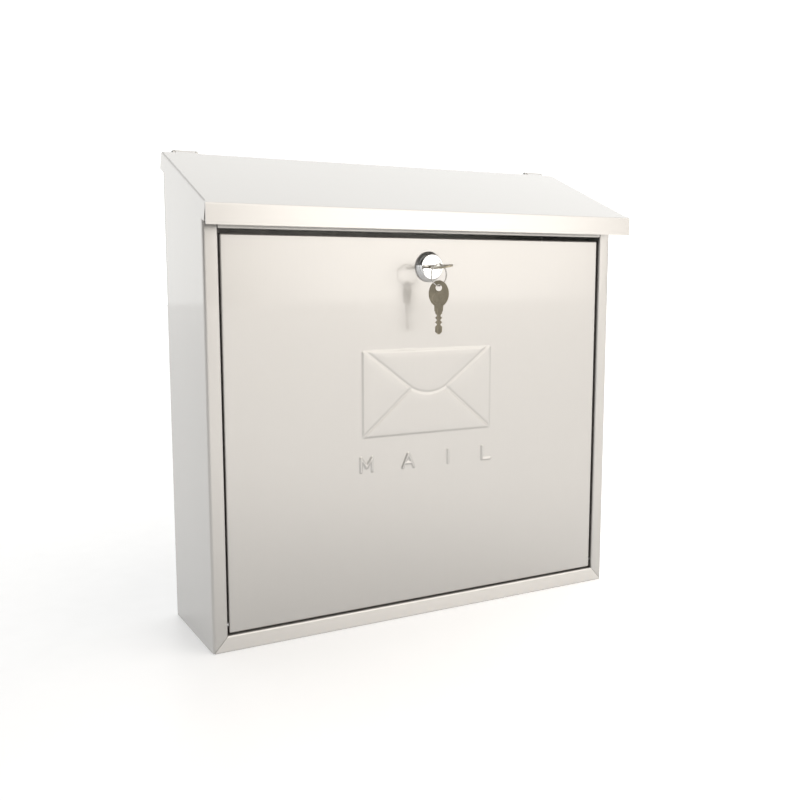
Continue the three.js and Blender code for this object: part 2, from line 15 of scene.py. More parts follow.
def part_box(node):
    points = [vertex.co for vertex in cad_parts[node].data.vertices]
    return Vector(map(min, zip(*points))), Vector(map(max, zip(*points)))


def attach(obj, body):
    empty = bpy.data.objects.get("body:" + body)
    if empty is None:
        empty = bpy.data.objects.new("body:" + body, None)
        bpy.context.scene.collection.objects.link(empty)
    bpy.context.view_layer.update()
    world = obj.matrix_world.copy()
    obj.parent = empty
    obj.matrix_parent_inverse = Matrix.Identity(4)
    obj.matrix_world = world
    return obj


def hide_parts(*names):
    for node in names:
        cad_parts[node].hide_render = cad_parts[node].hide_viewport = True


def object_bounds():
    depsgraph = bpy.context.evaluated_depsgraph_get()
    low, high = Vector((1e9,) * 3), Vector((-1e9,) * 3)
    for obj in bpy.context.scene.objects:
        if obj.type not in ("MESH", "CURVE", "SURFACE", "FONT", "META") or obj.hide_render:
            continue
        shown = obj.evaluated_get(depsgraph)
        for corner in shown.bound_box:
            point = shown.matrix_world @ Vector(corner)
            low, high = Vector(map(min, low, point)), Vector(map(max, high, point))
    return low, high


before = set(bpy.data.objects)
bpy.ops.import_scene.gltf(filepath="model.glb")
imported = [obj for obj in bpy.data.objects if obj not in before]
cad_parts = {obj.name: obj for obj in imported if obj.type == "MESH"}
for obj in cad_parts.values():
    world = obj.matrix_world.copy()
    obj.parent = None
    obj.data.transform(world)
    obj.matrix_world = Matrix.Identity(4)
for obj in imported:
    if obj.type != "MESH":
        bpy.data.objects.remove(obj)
cad_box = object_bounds()

MM = 0.001

# ---------------------------------------------------------------- driving dimensions

SHEET = 1.0
CLEARANCE = 0.3
OVERCUT = 1.0  # how far a cutting shape reaches past what it cuts

DOOR_BEND = 1.2
DOOR_DEPTH = 12.0
DOOR_COARSE = 8.0  # mesh step over the plain parts of the door
DOOR_FINE = 0.6  # mesh step over the pressed envelope and letters
FINE_MARGIN = 3.0  # of fine mesh below and above them
BEND_STEPS = 6  # facets in a quarter turn of its folds
LOCK_HOLE_R = 9.5

ENVELOPE_HALF = (60.0, 34.5)  # half width and half height
ENVELOPE_FOOT = 136.9  # above the door's lower edge
ENVELOPE_RISE = 0.9
ENVELOPE_CORNER = 1.6
ENVELOPE_EDGE = 1.9  # width of its sloping edge
CREASE_HALF = 1.7
CREASE_DEPTH = 0.46
PILLOW_RISE = 0.14
PILLOW_REACH = 7.0
FLAP_JOIN = (15.8, 37.8)  # where the flap meets the side creases, above the envelope's foot
FLAP_LOWEST = 33.6
FLAP_TOP_X = 57.0
FLAP_POINTS = 17
SIDE_CREASE_FOOT = 0.5

LETTER_FOOT = 110.9  # above the door's lower edge
LETTER_HEIGHT = 11.0
LETTER_PITCH = 37.3
LETTER_HALF_WIDTH = 5.0
LETTER_STROKE = 0.6  # half width of a stroke
LETTER_SOFT = 0.65
LETTER_RISE = 0.85
M_DIP = 0.3  # share of the height, and so for the next
A_BAR = 0.32
L_FOOT = 0.8  # share of the half width

BEZEL_R = 12.0
BEZEL_FACE_R = 9.4
BEZEL_PROUD = 5.5
BEZEL_RIM = 1.2
BEZEL_SEAT = 1.5  # under the plug's head, out of the door
PLUG_FACE_R = 8.4
PLUG_RING = (0.6, 0.85, 1.1)  # the ring turned in its face, in from the edge
PLUG_RING_DEPTH = 0.35
PLUG_R = 6.2
KEYWAY_HALF = 1.1
KEYWAY_BEYOND = 1.0  # past the key's tip
CAM_SCREW_BORE = (2.3, 4.0)  # radius and depth
BARREL_R = 9.2
THREAD_START = 0.6  # from the barrel's end
THREAD_DEPTH = 0.45
THREAD_PITCH = 1.25
THREAD_ROWS = 6  # mesh rows to a pitch
ROUND = 96  # sides of a turned piece

KEY_THICK = 1.25
KEY_BOW = (7.8, 10.2)  # half width and half length
BOW_POINTS = 72
KEY_HOLE_R = 2.5
KEY_HOLE_FROM_END = 5.7
KEY_NECK = (3.4, 3.5)  # half width and length, and so for the next two
KEY_BLADE = (2.7, 17.5)
KEY_TIP = (0.8, 2.0)
KEY_SHOULDER = 0.6
KEY_NOTCH = 1.25
KEY_NOTCH_START = 1.5
KEY_NOTCH_PITCH = 3.4
KEY_NOTCH_SHAPE = (0.35, 0.6, 0.95)  # where it bottoms, rises and ends, as shares of the pitch
KEY_PLAIN = 4.0  # length of blade without notches
KEY_GROOVE = (0.8, 0.4)  # half width and depth
KEY_GROOVE_IN_NECK = 2.0
KEY_PANEL = (0.66, 0.42)  # half sizes of the bow's sunk panel, as shares of the bow's
KEY_PANEL_DROP = 0.36  # of its middle, as a share of the bow's half length
KEY_PANEL_DEPTH = 0.2
KEY_TILT = math.radians(10)
SPARE_TURN = math.radians(-39)

RING_R = 8.3
RING_WIRE_R = 0.55
RING_TURN = math.radians(14.6)
RING_SPLIT = math.radians(2.5)
RING_MESH = (120, 20)  # steps round the ring and sides of its wire

# How far sharp edges are rounded.
SHEET_EDGE = 0.2
PIN_EDGE = 0.3
WASHER_EDGE = 0.15
NUT_EDGE = 0.3
CAM_EDGE = 0.25
BEZEL_EDGE = 0.45
PLUG_EDGE = 0.12
KEY_EDGE = 0.28
RING_EDGE = 0.12

# ---------------------------------------------------------------- places on the frame


def low(node):
    """The lowest corner of a CAD node's box."""
    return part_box(node)[0] / MM


def high(node):
    """The highest corner of a CAD node's box."""
    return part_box(node)[1] / MM


def middle(node):
    return (low(node) + high(node)) / 2


DOOR_LOW = low("door")
DOOR_HIGH = high("door")
DOOR_FACE_Y = DOOR_LOW.y + ENVELOPE_RISE
LOCK = Vector((middle("lock_body").x, DOOR_FACE_Y, middle("lock_body").z))
BARREL_END = LOCK.y - high("lock_body").y  # out of the door, so below zero
FLOOR_Z = cad_box[0].z / MM

# ---------------------------------------------------------------- materials

NOISE_FENCE = (0.3, 0.7)  # where most of a noise's values lie


class Shader:
    """A node material: small helpers that add and join nodes."""

    def __init__(self, name):
        self.material = bpy.data.materials.new(name)
        self.material.use_nodes = True
        self.nodes = self.material.node_tree.nodes
        self.links = self.material.node_tree.links
        self.surface = self.nodes["Principled BSDF"]

    def add(self, kind, **values):
        node = self.nodes.new(kind)
        for key, value in values.items():
            setattr(node, key, value)
        return node

    def noise(self, cells, detail, roughness=0.5):
        """Noise over the piece's own place, with so many cells to the metre along x, y and z."""
        place = self.add("ShaderNodeTexCoord")
        mapping = self.add("ShaderNodeMapping")
        mapping.inputs["Scale"].default_value = cells
        texture = self.add("ShaderNodeTexNoise")
        texture.inputs["Scale"].default_value = 1.0
        texture.inputs["Detail"].default_value = detail
        texture.inputs["Roughness"].default_value = roughness
        self.links.new(place.outputs["Object"], mapping.inputs["Vector"])
        self.links.new(mapping.outputs["Vector"], texture.inputs["Vector"])
        return texture.outputs["Fac"]

    def spread(self, value, lowest, highest, fence=NOISE_FENCE):
        """A value taken from between the fence's ends to another range."""
        ramp = self.add("ShaderNodeMapRange")
        ramp.inputs["From Min"].default_value = fence[0]
        ramp.inputs["From Max"].default_value = fence[1]
        ramp.inputs["To Min"].default_value = lowest
        ramp.inputs["To Max"].default_value = highest
        self.links.new(value, ramp.inputs["Value"])
        return ramp.outputs["Result"]

    def mean(self, a, b, share):
        """The weighted mean of a and b, with b's share given."""
        mix = self.add("ShaderNodeMix", data_type="FLOAT")
        mix.inputs["Factor"].default_value = share
        self.links.new(a, mix.inputs["A"])
        self.links.new(b, mix.inputs["B"])
        return mix.outputs["Result"]

    def colours(self, value, dark, light, fence=NOISE_FENCE):
        """The base colour, from dark to light as the value crosses the fence."""
        ramp = self.add("ShaderNodeValToRGB")
        ramp.color_ramp.elements[0].position = fence[0]
        ramp.color_ramp.elements[0].color = (*dark, 1)
        ramp.color_ramp.elements[1].position = fence[1]
        ramp.color_ramp.elements[1].color = (*light, 1)
        self.links.new(value, ramp.inputs["Fac"])
        self.links.new(ramp.outputs["Color"], self.surface.inputs["Base Color"])

    def rough(self, value):
        self.links.new(value, self.surface.inputs["Roughness"])

    def worn(self, value, colour, tints, roughness, swings):
        """Base colour and roughness that wander with a noise."""
        self.colours(value, tinted(colour, tints[0]), tinted(colour, tints[1]))
        self.rough(self.spread(value, roughness + swings[0], roughness + swings[1]))

    def bump(self, value, height):
        """Raises the surface by up to that many millimetres."""
        node = self.add("ShaderNodeBump")
        node.inputs["Strength"].default_value = 1.0
        node.inputs["Distance"].default_value = height * MM
        self.links.new(value, node.inputs["Height"])
        self.links.new(node.outputs["Normal"], self.surface.inputs["Normal"])

    def set(self, **values):
        for key, value in values.items():
            self.surface.inputs[key.replace("_", " ")].default_value = value


def tinted(colour, factor):
    return tuple(channel * factor for channel in colour)


STEEL = (0.442, 0.43, 0.413)
NICKEL = (0.33, 0.295, 0.225)
ZINC = (0.50, 0.51, 0.52)
CHROME = (0.64, 0.645, 0.65)
WIRE = (0.42, 0.41, 0.39)

# A little off the axes, so that no face is square to its own grain.
GRAIN_WAYS = {"x": (1.0, 0.0, 0.02), "z": (0.0, 0.02, 1.0)}
GRAIN_CELLS = {"x": (16.0, 1500.0, 1500.0), "z": (1500.0, 1500.0, 16.0)}


def brushed(name, colour, grain, roughness=0.36):
    """Stainless sheet brushed along one axis, which smears reflections across the brushing: fine
    long lines over slow clouds of wear, under a clear lacquer with a faint sharp reflection."""
    shader = Shader(name)
    lines = shader.noise(GRAIN_CELLS[grain], detail=5.0)
    clouds = shader.noise((9.0, 9.0, 9.0), detail=4.0)
    both = shader.mean(lines, clouds, share=0.35)
    shader.set(Metallic=1.0, Coat_Weight=1.0, Coat_Roughness=0.05, Coat_IOR=1.45)
    shader.set(Anisotropic=0.75, Anisotropic_Rotation=0.25)
    grain_way = shader.add("ShaderNodeVectorTransform", vector_type="VECTOR")
    grain_way.convert_from, grain_way.convert_to = "OBJECT", "WORLD"
    grain_way.inputs[0].default_value = GRAIN_WAYS[grain]
    shader.links.new(grain_way.outputs[0], shader.surface.inputs["Tangent"])
    shader.worn(both, colour, tints=(0.988, 1.012), roughness=roughness, swings=(-0.02, 0.02))
    shader.bump(lines, height=0.00008)
    return shader.material


def polished(name, colour, roughness=0.07):
    """Plated and polished metal with faint swirls and finger haze."""
    shader = Shader(name)
    haze = shader.noise((220.0, 220.0, 220.0), detail=5.0)
    swirls = shader.noise((900.0, 900.0, 900.0), detail=2.0)
    shader.set(Metallic=1.0)
    shader.worn(haze, colour, tints=(0.97, 1.03), roughness=roughness, swings=(-0.03, 0.05))
    shader.bump(swirls, height=0.001)
    return shader.material


def plated(name, colour, roughness=0.42):
    """Zinc plating: cloudy, slightly grainy and dull."""
    shader = Shader(name)
    clouds = shader.noise((160.0, 160.0, 160.0), detail=6.0, roughness=0.65)
    grain = shader.noise((2400.0, 2400.0, 2400.0), detail=2.0)
    shader.set(Metallic=1.0)
    shader.worn(clouds, colour, tints=(0.86, 1.08), roughness=roughness, swings=(-0.08, 0.1))
    shader.bump(grain, height=0.004)
    return shader.material


def stamped(name, colour, roughness=0.34):
    """Nickel-plated key brass: tumbled, with fine scratches and darker hollows."""
    shader = Shader(name)
    scratches = shader.noise((2600.0, 260.0, 260.0), detail=4.0)
    clouds = shader.noise((300.0, 300.0, 300.0), detail=5.0, roughness=0.6)
    both = shader.mean(scratches, clouds, share=0.5)
    shader.set(Metallic=1.0)
    shader.worn(both, colour, tints=(0.82, 1.15), roughness=roughness, swings=(-0.07, 0.09))
    shader.bump(both, height=0.006)
    return shader.material


steel_upright = brushed("steel_brushed_upright", STEEL, "z")
steel_sideways = brushed("steel_brushed_sideways", STEEL, "x")
# A lighter copy of the same steel for the bottom panel and top rail: painted light.
steel_rail_painted_light = brushed("steel_brushed_rail_lightened", tinted(STEEL, 1.08), "x", roughness=0.42)
steel_inside = brushed("steel_plain_inside", tinted(STEEL, 0.93), "z", roughness=0.38)
zinc = plated("zinc_plate", ZINC)
chrome = polished("chrome_plate", CHROME)
nickel = stamped("nickel_plate", NICKEL)
wire_steel = polished("ring_wire", WIRE, roughness=0.2)

# ---------------------------------------------------------------- CAD pieces that stay

WELD_REACH = 0.002
FLAT_ANGLE = math.radians(0.5)


def soften(obj, edge):
    """Rounds the sharp edges of a CAD piece a little and shades its bends smoothly."""
    obj.data.polygons.foreach_set("use_smooth", [True] * len(obj.data.polygons))
    weld = obj.modifiers.new("weld", "WELD")
    weld.merge_threshold = WELD_REACH * MM
    flatten = obj.modifiers.new("flatten", "DECIMATE")
    flatten.decimate_type = "DISSOLVE"
    flatten.angle_limit = FLAT_ANGLE
    add_soft_edges(obj, edge)


def add_even_shading(obj):
    """Lets a piece's large flat faces decide how its smooth shading leans."""
    weighted = obj.modifiers.new("even_shading", "WEIGHTED_NORMAL")
    weighted.keep_sharp = False


def add_soft_edges(obj, edge, steps=2, sharpest=32):
    """Rounds the edges that turn by more than the given degrees."""
    bevel = obj.modifiers.new("soft_edges", "BEVEL")
    bevel.width = edge * MM
    bevel.segments = steps
    bevel.limit_method = "ANGLE"
    bevel.angle_limit = math.radians(sharpest)
    bevel.harden_normals = True
    add_even_shading(obj)


def dress(node, material, edge=SHEET_EDGE):
    """Gives a CAD node that stays its material and its softened edges."""
    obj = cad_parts[node]
    obj.data.materials.clear()
    obj.data.materials.append(material)
    soften(obj, edge)


for side in ("left", "right"):
    dress(f"{side}_side_panel", steel_upright)
    dress(f"{side}_hinge_bracket", steel_inside)
    dress(f"{side}_hinge_pin", zinc, PIN_EDGE)
    dress(f"{side}_door_pin", zinc, PIN_EDGE)
dress("back_panel", steel_inside)
dress("bottom_panel", steel_rail_painted_light)
dress("top_rail", steel_rail_painted_light)
dress("lid", steel_sideways)
dress("lock_washer", zinc, WASHER_EDGE)
dress("lock_nut", zinc, NUT_EDGE)
dress("lock_cam", zinc, CAM_EDGE)
dress("cam_screw", zinc, CAM_EDGE)

# ---------------------------------------------------------------- mesh building


def finished(name, mesh, body, material, replaced):
    """A new piece on a body, from a finished mesh, in place of the CAD nodes listed."""
    obj = bpy.data.objects.new(name, mesh)
    bpy.context.scene.collection.objects.link(obj)
    mesh.materials.clear()
    mesh.materials.append(material)
    mesh.polygons.foreach_set("use_smooth", [True] * len(mesh.polygons))
    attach(obj, body)
    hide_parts(*replaced)
    return obj


def mesh_of(name, points, faces):
    """A mesh from millimetre points; faces are lists of point numbers."""
    mesh = bpy.data.meshes.new(name)
    mesh.from_pydata([tuple(float(c) * MM for c in p) for p in points], [], faces)
    mesh.validate()
    mesh.update()
    return mesh


def facing_out(mesh):
    """The same mesh, with all its faces turned outwards."""
    work = bmesh.new()
    work.from_mesh(mesh)
    bmesh.ops.recalc_face_normals(work, faces=work.faces)
    work.to_mesh(mesh)
    work.free()
    return mesh


def stops(marks):
    """Places from one mark to the next, each mark being a place and the step that follows it."""
    places = []
    for (start, step), (end, _) in zip(marks, marks[1:]):
        count = max(1, round((end - start) / step))
        places += [start + (end - start) * i / count for i in range(count)]
    return np.array(places + [marks[-1][0]])


def smooth(value):
    """0 below 0, 1 above 1, and an even S between."""
    t = np.clip(value, 0.0, 1.0)
    return t * t * (3.0 - 2.0 * t)


def to_segment(x, z, a, b):
    """Distance from each point of the arrays x and z to the segment from a to b."""
    ax, az = a
    dx, dz = b[0] - ax, b[1] - az
    share = np.clip(((x - ax) * dx + (z - az) * dz) / (dx * dx + dz * dz), 0.0, 1.0)
    return np.hypot(x - ax - share * dx, z - az - share * dz)


def to_path(x, z, path):
    """Distance from each point of the arrays x and z to a line through the path's points."""
    return np.minimum.reduce([to_segment(x, z, a, b) for a, b in zip(path, path[1:])])


# ---------------------------------------------------------------- the door


def envelope_creases():
    """The flap's edge and the two side creases, from the middle of the envelope's foot."""
    join_x, join_z = FLAP_JOIN
    half_width, half_height = ENVELOPE_HALF
    bow = (join_z - FLAP_LOWEST) / join_x**2
    places = np.linspace(-join_x, join_x, FLAP_POINTS)
    curve = [(x, FLAP_LOWEST + bow * x * x) for x in places]
    top = 2 * half_height
    flap = [(-FLAP_TOP_X, top), *curve, (FLAP_TOP_X, top)]
    sides = [[(s * half_width, SIDE_CREASE_FOOT), (s * join_x, join_z)] for s in (-1, 1)]
    return [flap, *sides]


def envelope_height(x, z):
    """The pressed envelope's rise at x, z from the middle of its foot."""
    half_width, half_height = ENVELOPE_HALF
    beyond_x = np.abs(x) - half_width + ENVELOPE_CORNER
    beyond_z = np.abs(z - half_height) - half_height + ENVELOPE_CORNER
    outside = np.hypot(np.maximum(beyond_x, 0), np.maximum(beyond_z, 0))
    inside = np.minimum(np.maximum(beyond_x, beyond_z), 0)
    depth = ENVELOPE_CORNER - outside - inside
    panel = smooth(depth / ENVELOPE_EDGE)
    crease = np.minimum.reduce([to_path(x, z, path) for path in envelope_creases()])
    groove = CREASE_DEPTH * smooth(1.0 - crease / CREASE_HALF)
    open_field = np.minimum(crease, np.maximum(depth, 0))
    pillow = PILLOW_RISE * (smooth(open_field / PILLOW_REACH) - 1.0)
    return panel * (ENVELOPE_RISE - groove + pillow)


def letter_strokes():
    """The strokes of plain block capitals that spell MAIL, from the middle of the row's foot."""
    w, h = LETTER_HALF_WIDTH, LETTER_HEIGHT
    dip = M_DIP * h
    bar = A_BAR * h
    slant = w * (1 - A_BAR)
    foot = L_FOOT * w
    letters = [
        [[(-w, 0), (-w, h), (0, dip), (w, h), (w, 0)]],
        [[(-w, 0), (0, h), (w, 0)], [(-slant, bar), (slant, bar)]],
        [[(0, 0), (0, h)]],
        [[(-foot, h), (-foot, 0), (foot, 0)]],
    ]
    middle_of_row = (len(letters) - 1) / 2
    return [
        [(x + (i - middle_of_row) * LETTER_PITCH, z) for x, z in stroke]
        for i, strokes in enumerate(letters)
        for stroke in strokes
    ]


def letter_height(x, z):
    """The letters' rise at x, z from the middle of their foot."""
    nearest = np.minimum.reduce([to_path(x, z, path) for path in letter_strokes()])
    return LETTER_RISE * smooth((LETTER_STROKE + LETTER_SOFT - nearest) / LETTER_SOFT)


def door_face_grid():
    """Columns and rows of the door's flat front, close together where it is pressed or cut."""
    half = DOOR_HIGH.x - DOOR_BEND
    foot, top = DOOR_LOW.z, DOOR_HIGH.z
    pressed_x = ENVELOPE_HALF[0] + LETTER_HALF_WIDTH
    columns = stops(
        [(-half, DOOR_COARSE), (-pressed_x, DOOR_FINE), (pressed_x, DOOR_COARSE), (half, 0)]
    )
    envelope_top = foot + ENVELOPE_FOOT + 2 * ENVELOPE_HALF[1]
    rows = stops(
        [
            (foot + DOOR_BEND, DOOR_COARSE),
            (foot + LETTER_FOOT - FINE_MARGIN, DOOR_FINE),
            (foot + LETTER_FOOT + LETTER_HEIGHT + FINE_MARGIN, 4 * DOOR_FINE),
            (foot + ENVELOPE_FOOT - FINE_MARGIN / 2, DOOR_FINE),
            (envelope_top + FINE_MARGIN / 2, DOOR_COARSE),
            (LOCK.z - LOCK_HOLE_R - FINE_MARGIN, 2 * DOOR_FINE),
            (LOCK.z + LOCK_HOLE_R + FINE_MARGIN, DOOR_COARSE),
            (top - DOOR_BEND, 0),
        ]
    )
    return columns, rows


def face_rim(columns, rows):
    """Round the face's edge: each grid place with the outward directions met there."""
    last_column, last_row = len(columns) - 1, len(rows) - 1
    walk = [(i, 0, -90) for i in range(last_column + 1)]
    walk += [(last_column, j, 0) for j in range(last_row + 1)]
    walk += [(i, last_row, 90) for i in range(last_column, -1, -1)]
    walk += [(0, j, 180) for j in range(last_row, -1, -1)]
    rim = []
    for (i, j, angle), (next_i, next_j, next_angle) in zip(walk, walk[1:] + walk[:1]):
        rim.append((i, j, math.radians(angle)))
        if (i, j) == (next_i, next_j):
            turn = (next_angle - angle) % 360
            for k in range(1, BEND_STEPS):
                rim.append((i, j, math.radians(angle + turn * k / BEND_STEPS)))
    return rim


def edge_profile():
    """The door's folded edge as reach and depth: outer bend, flange, cut edge and inner bend."""
    quarter = [math.radians(90 * i / BEND_STEPS) for i in range(1, BEND_STEPS + 1)]
    outer = [(DOOR_BEND * math.sin(a), DOOR_BEND * (1 - math.cos(a))) for a in quarter]
    r = DOOR_BEND - SHEET
    inner = [(r * math.sin(a), DOOR_BEND - r * math.cos(a)) for a in reversed(quarter)]
    edge = [(DOOR_BEND, DOOR_DEPTH), (r, DOOR_DEPTH)]
    return outer + edge + inner + [(0.0, SHEET)]


def folded_edge(work, grid, columns, rows):
    """Rings of points round the door, from its front face to the back of its sheet."""
    rim = face_rim(columns, rows)
    rings = [[grid[j][i] for i, j, _ in rim]]
    for reach, depth in edge_profile():
        made = {}
        ring = []
        for i, j, angle in rim:
            # Where nothing reaches out, all the directions met at a corner share one point.
            key = (i, j, angle) if reach else (i, j)
            if key not in made:
                x = columns[i] + reach * math.cos(angle)
                z = rows[j] + reach * math.sin(angle)
                made[key] = work.verts.new((x, DOOR_FACE_Y + depth, z))
            ring.append(made[key])
        rings.append(ring)
    return rings


def fill_back(work, outline, hole_edges):
    """The wall of the lock's hole, and the back of the sheet between that hole and the outline."""
    behind = {}
    back_hole = []
    for edge in hole_edges:
        for vertex in edge.verts:
            if vertex not in behind:
                place = (vertex.co.x, DOOR_FACE_Y + SHEET, vertex.co.z)
                behind[vertex] = work.verts.new(place)
        a, b = edge.verts
        work.faces.new((a, b, behind[b], behind[a]))
        back_hole.append(work.edges.get((behind[a], behind[b])))
    loop = list(dict.fromkeys(outline))
    back_rim = [work.edges.get(pair) for pair in zip(loop, loop[1:] + loop[:1])]
    bmesh.ops.triangle_fill(work, use_beauty=True, edges=back_rim + back_hole)


def door_mesh():
    """The door as one closed skin: pressed front, folded edge, plain back and the lock's hole."""
    columns, rows = door_face_grid()
    x, z = np.meshgrid(columns, rows)
    envelope = envelope_height(x, z - DOOR_LOW.z - ENVELOPE_FOOT)
    letters = letter_height(x, z - DOOR_LOW.z - LETTER_FOOT)
    y = DOOR_FACE_Y - (envelope + letters)
    work = bmesh.new()
    grid = [
        [work.verts.new((x[j, i], y[j, i], z[j, i])) for i in range(len(columns))]
        for j in range(len(rows))
    ]
    for below, above in zip(grid, grid[1:]):
        for i in range(len(columns) - 1):
            work.faces.new((below[i], below[i + 1], above[i + 1], above[i]))
    rings = folded_edge(work, grid, columns, rows)
    for near, far in zip(rings, rings[1:]):
        for k in range(len(near)):
            n = (k + 1) % len(near)
            corners = list(dict.fromkeys((near[k], near[n], far[n], far[k])))
            if len(corners) > 2:
                work.faces.new(corners)
    fill_back(work, rings[-1], cut_lock_hole(work))
    bmesh.ops.recalc_face_normals(work, faces=work.faces)
    bmesh.ops.scale(work, vec=(MM, MM, MM), verts=work.verts)
    mesh = bpy.data.meshes.new("door_skin")
    work.to_mesh(mesh)
    work.free()
    return mesh


def cut_lock_hole(work):
    """Cuts the round hole for the lock out of the face grid, and returns the edges round it."""

    def from_axis(point):
        return math.hypot(point.x - LOCK.x, point.z - LOCK.z)

    def in_hole(place):
        return abs(place.y - DOOR_FACE_Y) < SHEET / 2 and from_axis(place) < LOCK_HOLE_R

    inside = [f for f in work.faces if in_hole(f.calc_center_median())]
    bmesh.ops.delete(work, geom=inside, context="FACES")
    near = 2 * LOCK_HOLE_R
    edges = [e for e in work.edges if e.is_boundary and from_axis(e.verts[0].co) < near]
    for vertex in {v for e in edges for v in e.verts}:
        distance = from_axis(vertex.co)
        vertex.co.x = LOCK.x + (vertex.co.x - LOCK.x) * LOCK_HOLE_R / distance
        vertex.co.z = LOCK.z + (vertex.co.z - LOCK.z) * LOCK_HOLE_R / distance
    return edges


door = finished("door_skin", door_mesh(), "door", steel_upright, ["door"])
add_even_shading(door)

# ---------------------------------------------------------------- the lock

THREADED = (BARREL_END + THREAD_START, -SHEET)


def turned(name, profile, capped=False):
    """A solid turned about the lock's axis from points of radius and distance out of the door: a
    closed loop round a bore, or a line from one flat end to the other if it is capped. The barrel's
    thread is cut as a helix."""
    points = []
    for radius, out in profile:
        in_thread = radius == BARREL_R and THREADED[0] <= out <= THREADED[1]
        for k in range(ROUND):
            turn = 2 * math.pi * k / ROUND
            r = radius
            if in_thread:
                wave = (out / THREAD_PITCH + k / ROUND) % 1.0
                r -= THREAD_DEPTH * abs(2 * wave - 1)
            points.append((LOCK.x + r * math.cos(turn), LOCK.y - out, LOCK.z + r * math.sin(turn)))
    faces = []
    loops = len(profile)
    if capped:
        faces += [tuple(reversed(range(ROUND))), tuple(range((loops - 1) * ROUND, loops * ROUND))]
    for i in range(loops - 1 if capped else loops):
        for k in range(ROUND):
            n = (k + 1) % ROUND
            j = (i + 1) % loops
            faces.append((i * ROUND + k, i * ROUND + n, j * ROUND + n, j * ROUND + k))
    return facing_out(mesh_of(name, points, faces))


def bezel_profile():
    """The lock body's section: barrel, cone and the seat for the plug's head, round its bore."""
    bore = PLUG_R + CLEARANCE
    recess = PLUG_FACE_R + CLEARANCE
    return [
        (bore, BARREL_END),
        (BARREL_R - THREAD_DEPTH, BARREL_END),
        *[(BARREL_R, out) for out in np.arange(*THREADED, THREAD_PITCH / THREAD_ROWS)],
        (BARREL_R, CLEARANCE),
        (BEZEL_R, CLEARANCE),
        (BEZEL_R, BEZEL_RIM),
        (BEZEL_FACE_R, BEZEL_PROUD),
        (recess, BEZEL_PROUD),
        (recess, BEZEL_SEAT),
        (bore, BEZEL_SEAT),
    ]


bezel = finished(
    "lock_bezel",
    turned("lock_bezel", bezel_profile()),
    "door",
    chrome,
    ["lock_body"],
)
add_soft_edges(bezel, BEZEL_EDGE, steps=3, sharpest=40)


def applied(obj):
    """The object's mesh with its modifiers in it."""
    depsgraph = bpy.context.evaluated_depsgraph_get()
    return bpy.data.meshes.new_from_object(obj.evaluated_get(depsgraph))


def carved(mesh, cutters):
    """The mesh with each cutter mesh taken out of it."""
    obj = bpy.data.objects.new("work", mesh)
    bpy.context.scene.collection.objects.link(obj)
    tools = []
    for number, cutter in enumerate(cutters):
        tool = bpy.data.objects.new(f"tool_{number}", cutter)
        bpy.context.scene.collection.objects.link(tool)
        tools.append(tool)
        cut = obj.modifiers.new("cut", "BOOLEAN")
        cut.operation = "DIFFERENCE"
        cut.solver = "EXACT"
        cut.object = tool
    result = applied(obj)
    for item in [obj, *tools]:
        bpy.data.objects.remove(item)
    return result


def slab(name, outline, bottom, top):
    """An outline of (x, y) points as a plate between two heights."""
    count = len(outline)
    points = [(x, y, bottom) for x, y in outline] + [(x, y, top) for x, y in outline]
    faces = [tuple(reversed(range(count))), tuple(range(count, 2 * count))]
    faces += [(k, (k + 1) % count, count + (k + 1) % count, count + k) for k in range(count)]
    return facing_out(mesh_of(name, points, faces))


def ellipse(half_width, half_length, centre_y, sides):
    """The outline of an ellipse on the Y axis, as (x, y) points."""
    turns = [2 * math.pi * k / sides for k in range(sides)]
    return [(half_width * math.cos(t), centre_y + half_length * math.sin(t)) for t in turns]


# ---------------------------------------------------------------- keys and ring


def key_outline():
    """A flat key seen from above: its bow's middle at the origin, its blade towards -Y."""
    half_width, half_length = KEY_BOW
    neck_half, neck_length = KEY_NECK
    blade_half, blade_length = KEY_BLADE
    tip_half, tip_length = KEY_TIP
    neck_end = -half_length - neck_length
    tip = neck_end - blade_length
    start = math.acos(neck_half / half_width)
    turns = np.linspace(-start, math.pi + start, BOW_POINTS)
    bow = [(half_width * math.cos(a), half_length * math.sin(a)) for a in turns]
    right = [(neck_half, neck_end + KEY_SHOULDER), (blade_half, neck_end)]
    floor = blade_half - KEY_NOTCH
    bottom, rise, close = (share * KEY_NOTCH_PITCH for share in KEY_NOTCH_SHAPE)
    for i in range(int((blade_length - KEY_PLAIN) / KEY_NOTCH_PITCH)):
        y = neck_end - KEY_NOTCH_START - i * KEY_NOTCH_PITCH
        right += [(blade_half, y), (floor, y - bottom), (floor, y - rise), (blade_half, y - close)]
    right += [(blade_half, tip + tip_length), (tip_half, tip)]
    left = [(-x, y) for x, y in right]
    return bow + left + right[::-1]


def key_mesh(name):
    """A key with its ring hole, its blade grooved and its bow sunk on both faces."""
    half_width, half_length = KEY_BOW
    half = KEY_THICK / 2
    plate = slab(name, key_outline(), -half, half)
    hole_y = half_length - KEY_HOLE_FROM_END
    hole = ellipse(KEY_HOLE_R, KEY_HOLE_R, hole_y, sides=48)
    cutters = [slab("hole", hole, -KEY_THICK, KEY_THICK)]
    groove_half, groove_depth = KEY_GROOVE
    neck_end = -half_length - KEY_NECK[1]
    near = neck_end + KEY_GROOVE_IN_NECK
    far = neck_end - KEY_BLADE[1] - OVERCUT
    groove = [(-groove_half, near), (groove_half, near), (groove_half, far), (-groove_half, far)]
    panel_width, panel_length = (share * size for share, size in zip(KEY_PANEL, KEY_BOW))
    panel_y = -KEY_PANEL_DROP * half_length
    panel = ellipse(panel_width, panel_length, panel_y, sides=64)
    for side in (-1, 1):
        for outline, depth in ((groove, groove_depth), (panel, KEY_PANEL_DEPTH)):
            ends = sorted((side * KEY_THICK, side * (half - depth)))
            cutters.append(slab("cutter", outline, *ends))
    return carved(plate, cutters)


